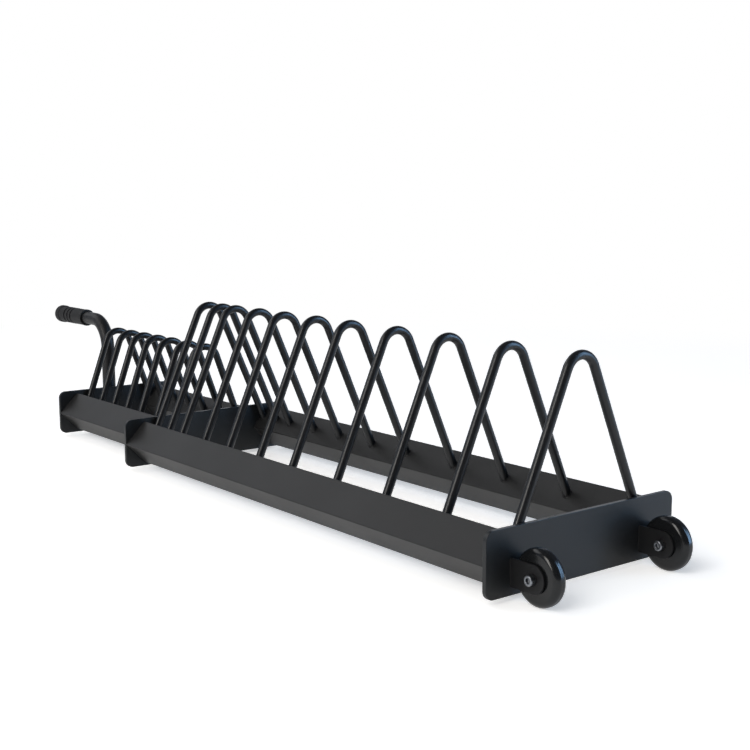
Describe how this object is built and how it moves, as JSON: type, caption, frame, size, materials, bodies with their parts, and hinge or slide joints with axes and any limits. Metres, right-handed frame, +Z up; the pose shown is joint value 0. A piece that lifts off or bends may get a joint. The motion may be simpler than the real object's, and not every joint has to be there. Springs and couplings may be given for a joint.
{
  "type": "weight plate cart",
  "caption": "Long black rack of bent steel hoops on two square rails, stepped in height, with two small wheels at one end and a raised pull handle at the other.",
  "frame": {"origin": "on the floor under the middle of the cart's outline", "axes": "+X towards the wheels, -X towards the handle, +Y the cart's left side, +Z up"},
  "size_m": [1.5442, 0.32, 0.2755],
  "materials": {
    "plate_paint": "satin black powder coat",
    "rail_paint": "satin black powder coat",
    "hoop_paint": "satin black powder coat",
    "handle_paint": "satin black powder coat",
    "grip_rubber": "moulded matt black rubber",
    "ear_paint": "satin black powder coat",
    "tyre": "glossy black polyurethane",
    "core_nylon": "moulded black nylon",
    "bearing_steel": "ground steel with shields",
    "zinc": "zinc plated",
    "foot_rubber": "extruded black rubber"
  },
  "bodies": {
    "frame": {"front_plate": "plate_paint", "middle_plate": "plate_paint", "rear_plate": "plate_paint", "large_rail_left": "rail_paint", "large_rail_right": "rail_paint", "small_rail_left": "rail_paint", "small_rail_right": "rail_paint", "large_hoop_01": "hoop_paint", "large_hoop_02": "hoop_paint", "large_hoop_03": "hoop_paint", "large_hoop_04": "hoop_paint", "large_hoop_05": "hoop_paint", "large_hoop_06": "hoop_paint", "large_hoop_07": "hoop_paint", "large_hoop_08": "hoop_paint", "large_hoop_09": "hoop_paint", "large_hoop_10": "hoop_paint", "large_hoop_11": "hoop_paint", "small_hoop_01": "hoop_paint", "small_hoop_02": "hoop_paint", "small_hoop_03": "hoop_paint", "small_hoop_04": "hoop_paint", "small_hoop_05": "hoop_paint", "small_hoop_06": "hoop_paint", "small_hoop_07": "hoop_paint", "handle_tube": "handle_paint", "handle_grip": "grip_rubber", "rear_foot": "foot_rubber", "wheel_ear_left_outer": "ear_paint", "wheel_ear_left_inner": "ear_paint", "wheel_ear_right_outer": "ear_paint", "wheel_ear_right_inner": "ear_paint", "axle_bolt_left": "zinc", "axle_bolt_right": "zinc", "axle_nut_left": "zinc", "axle_nut_right": "zinc", "axle_spacer_left": "zinc", "axle_spacer_right": "zinc", "axle_washer_left_outer": "zinc", "axle_washer_left_inner": "zinc", "axle_washer_right_outer": "zinc", "axle_washer_right_inner": "zinc"},
    "wheel_left": {"tyre_left": "tyre", "wheel_core_left": "core_nylon", "wheel_bearing_left_outer": "bearing_steel", "wheel_bearing_left_inner": "bearing_steel"},
    "wheel_right": {"tyre_right": "tyre", "wheel_core_right": "core_nylon", "wheel_bearing_right_outer": "bearing_steel", "wheel_bearing_right_inner": "bearing_steel"}
  },
  "joints": [
    {"name": "wheel_left_spin", "type": "hinge", "parent": "frame", "child": "wheel_left", "pos_m": [0.7381, 0.11, 0.034], "axis": [0, 1, 0], "continuous": true},
    {"name": "wheel_right_spin", "type": "hinge", "parent": "frame", "child": "wheel_right", "pos_m": [0.7381, -0.11, 0.034], "axis": [0, 1, 0], "continuous": true}
  ]
}
